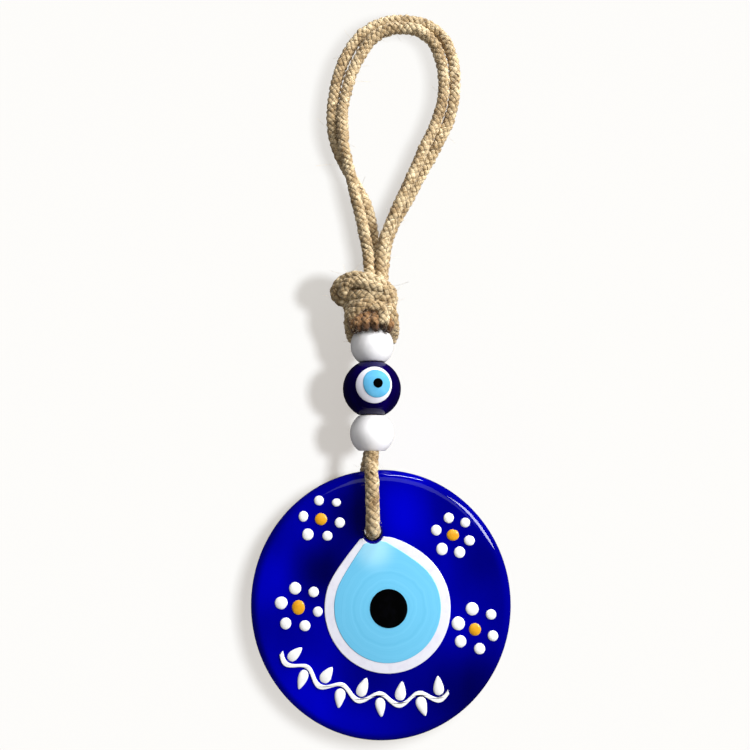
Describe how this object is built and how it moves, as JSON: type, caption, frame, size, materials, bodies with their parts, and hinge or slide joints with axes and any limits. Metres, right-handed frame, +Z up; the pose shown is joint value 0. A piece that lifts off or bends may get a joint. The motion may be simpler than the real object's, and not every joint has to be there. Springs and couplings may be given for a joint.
{
  "type": "evil eye ornament",
  "caption": "Cobalt glass evil eye disc with enamel flowers and a painted garland, hung on a doubled jute cord through beads and a knot.",
  "frame": {"origin": "the hanging point: inside the doubled cord loop, at its top, where a nail or hook carries it", "axes": "+Z up as it hangs, -Y out of the decorated face, +X to the viewer's right"},
  "size_m": [0.08, 0.0193, 0.2373],
  "materials": {
    "jute_cord": "plied natural jute with loose fibres",
    "cobalt_glass": "deep cobalt blue fire-polished glass",
    "white_glass": "opal white glass fused into the blue",
    "sky_glass": "opaque light blue glass",
    "black_glass": "opaque black glass",
    "white_bead_glass": "opaque satin white glass",
    "white_enamel": "thick glossy white enamel dabs",
    "yellow_enamel": "thick glossy yellow enamel dabs"
  },
  "bodies": {
    "hanging_loop": {"loop_strand_inner": "jute_cord", "loop_strand_outer": "jute_cord"},
    "neck": {"neck_strand_1": "jute_cord", "neck_strand_2": "jute_cord", "neck_strand_3": "jute_cord", "neck_strand_4": "jute_cord"},
    "knot": {"knot": "jute_cord"},
    "bead_cord": {"bead_cord_front": "jute_cord", "bead_cord_back": "jute_cord"},
    "upper_bead": {"upper_white_bead": "white_bead_glass"},
    "eye_bead": {"eye_bead": "cobalt_glass", "bead_eye_white": "white_glass", "bead_eye_iris": "sky_glass", "bead_eye_pupil": "black_glass"},
    "lower_bead": {"lower_white_bead": "white_bead_glass"},
    "bail": {"disc_bail_cord": "jute_cord"},
    "disc": {"glass_disc": "cobalt_glass", "eye_white": "white_glass", "eye_iris": "sky_glass", "eye_pupil": "black_glass", "flower_upper_left_centre": "yellow_enamel", "flower_upper_left_petal_1": "white_enamel", "flower_upper_left_petal_2": "white_enamel", "flower_upper_left_petal_3": "white_enamel", "flower_upper_left_petal_4": "white_enamel", "flower_upper_left_petal_5": "white_enamel", "flower_upper_left_petal_6": "white_enamel", "flower_upper_right_centre": "yellow_enamel", "flower_upper_right_petal_1": "white_enamel", "flower_upper_right_petal_2": "white_enamel", "flower_upper_right_petal_3": "white_enamel", "flower_upper_right_petal_4": "white_enamel", "flower_upper_right_petal_5": "white_enamel", "flower_upper_right_petal_6": "white_enamel", "flower_left_centre": "yellow_enamel", "flower_left_petal_1": "white_enamel", "flower_left_petal_2": "white_enamel", "flower_left_petal_3": "white_enamel", "flower_left_petal_4": "white_enamel", "flower_left_petal_5": "white_enamel", "flower_left_petal_6": "white_enamel", "flower_right_centre": "yellow_enamel", "flower_right_petal_1": "white_enamel", "flower_right_petal_2": "white_enamel", "flower_right_petal_3": "white_enamel", "flower_right_petal_4": "white_enamel", "flower_right_petal_5": "white_enamel", "flower_right_petal_6": "white_enamel", "garland_stem": "white_enamel", "garland_leaf_1": "white_enamel", "garland_leaf_2": "white_enamel", "garland_leaf_3": "white_enamel", "garland_leaf_4": "white_enamel", "garland_leaf_5": "white_enamel", "garland_leaf_6": "white_enamel", "garland_leaf_7": "white_enamel", "garland_leaf_8": "white_enamel", "garland_leaf_9": "white_enamel"}
  },
  "joints": [
    {"name": "neck_side", "type": "hinge", "parent": "hanging_loop", "child": "neck", "pos_m": [-0.0092, 0, -0.072], "axis": [0, 1, 0], "range_deg": [-20, 20]},
    {"name": "neck_front", "type": "hinge", "parent": "neck", "child": "knot", "pos_m": [-0.0093, 0, -0.0834], "axis": [1, 0, 0], "range_deg": [-25, 25]},
    {"name": "cord_twist", "type": "hinge", "parent": "knot", "child": "bead_cord", "pos_m": [-0.0114, 0, -0.102], "axis": [0, 0, 1], "range_deg": [-60, 60]},
    {"name": "bead_slide", "type": "slide", "parent": "bead_cord", "child": "upper_bead", "axis": [0, 0, -1], "range_m": [0, 0.0015]},
    {"name": "eye_bead_spin", "type": "hinge", "parent": "upper_bead", "child": "eye_bead", "pos_m": [-0.0114, 0, -0.1235], "axis": [0, 0, 1], "continuous": true},
    {"name": "lower_bead_spin", "type": "hinge", "parent": "upper_bead", "child": "lower_bead", "pos_m": [-0.0114, 0, -0.1384], "axis": [0, 0, 1], "continuous": true},
    {"name": "bail_swing", "type": "hinge", "parent": "bead_cord", "child": "bail", "pos_m": [-0.0114, 0, -0.1464], "axis": [1, 0, 0], "range_deg": [-20, 20]},
    {"name": "disc_rock", "type": "hinge", "parent": "bail", "child": "disc", "pos_m": [-0.0111, 0, -0.1683], "axis": [0, 1, 0], "range_deg": [-20, 20]}
  ]
}
